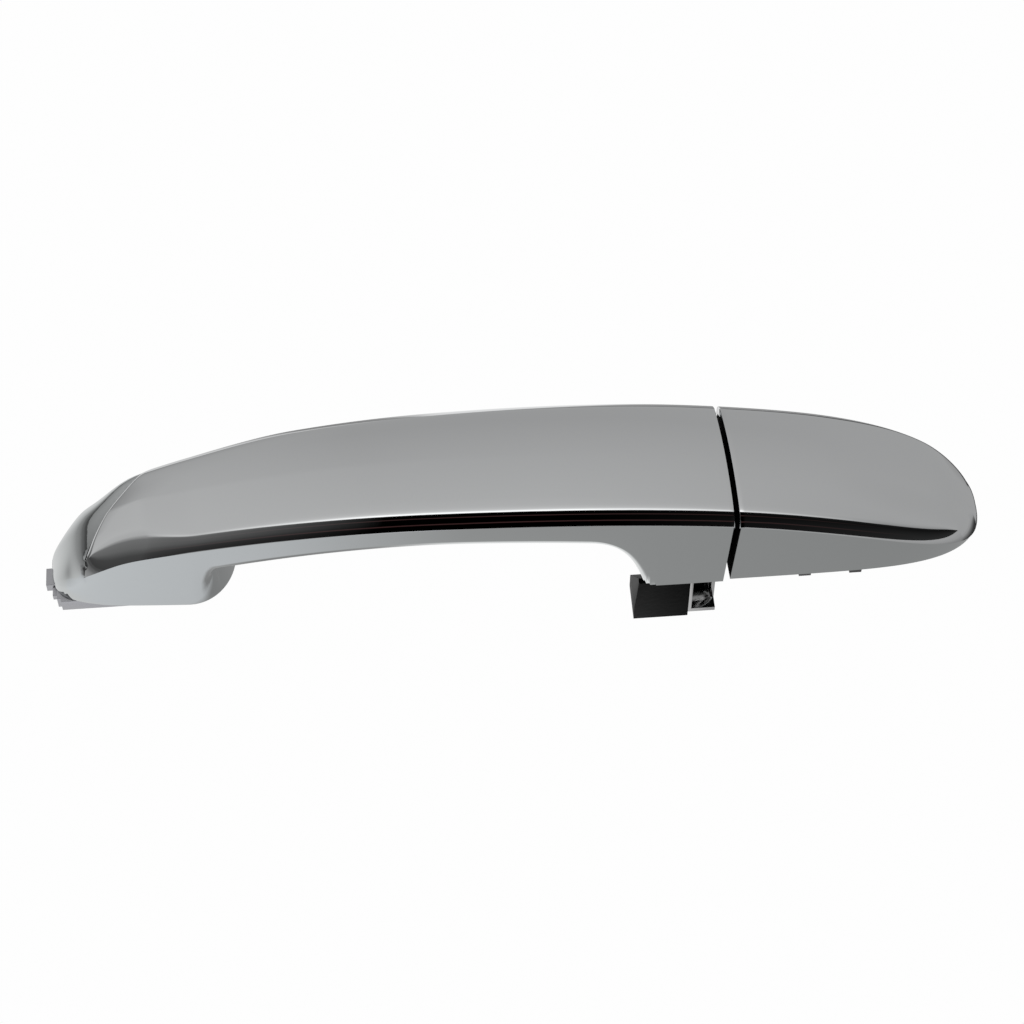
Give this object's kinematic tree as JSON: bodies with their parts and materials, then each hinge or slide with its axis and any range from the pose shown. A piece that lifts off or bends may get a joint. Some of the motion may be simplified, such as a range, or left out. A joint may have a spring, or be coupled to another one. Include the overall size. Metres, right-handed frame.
{
  "type": "car door handle",
  "caption": "Chrome pull-type exterior car door handle with a rear end cap, an in-door carrier, a hinge fork, a pull hook and a sprung bellcrank.",
  "frame": {"origin": "midway between the carrier's two fixing bolts, on the carrier's seating face against the inside of the door skin", "axes": "+X towards the end cap at the car's rear, +Y up the door, +Z outwards from the door"},
  "size_m": [0.2312, 0.0506, 0.0565],
  "materials": {
    "chrome_face": "polished plating on plastic",
    "chrome_body": "polished plating on plastic",
    "chrome_hook": "polished",
    "plated_steel": "satin zinc plate",
    "steel": "ground",
    "screws": "zinc plated",
    "spring_steel": "bright wire",
    "brass": "turned",
    "black_nylon": "moulded, fine grain",
    "grey_plastic": "moulded",
    "white_plastic": "moulded",
    "rubber": "matt",
    "zinc": "as cast"
  },
  "bodies": {
    "base": {"carrier": "black_nylon", "hinge_bush": "brass", "bolt_sleeves": "brass", "cap_cover": "chrome_face", "cap_insert": "black_nylon", "cap_bumper": "rubber", "cap_clips": "grey_plastic", "cap_screws": "screws", "clamp_screw": "screws", "clamp_nut": "screws", "lever_pin": "steel", "pin_clip": "steel", "lever_bumper": "rubber", "lever_spring": "spring_steel"},
    "grip": {"grip_cover": "chrome_face", "grip_body": "chrome_body", "grip_core": "black_nylon", "cover_screws": "screws", "hinge_fork": "plated_steel", "fork_screws": "screws", "hinge_pin": "steel", "pull_hook": "chrome_hook", "hook_block": "black_nylon", "hook_screws": "screws"},
    "lever": {"bellcrank": "black_nylon", "lever_bushes": "brass", "counterweight": "zinc", "weight_rivet": "steel", "rod_clip": "white_plastic"}
  },
  "joints": [
    {"name": "grip_pull", "type": "hinge", "parent": "base", "child": "grip", "pos_m": [-0.104, 0.0056, -0.009], "axis": [0, -1, 0], "range_deg": [0, 8]},
    {"name": "lever_turn", "type": "hinge", "parent": "base", "child": "lever", "pos_m": [0.0477, 0.014, -0.0046], "axis": [-1, 0, 0], "range_deg": [0, 60], "stiffness_Nm_per_rad": 0.05, "springref_deg": -34.38, "deforming": ["lever_spring"]}
  ],
  "couplings": [
    {"joint": "lever_turn", "follows": "grip_pull", "ratio": 7.5}
  ]
}
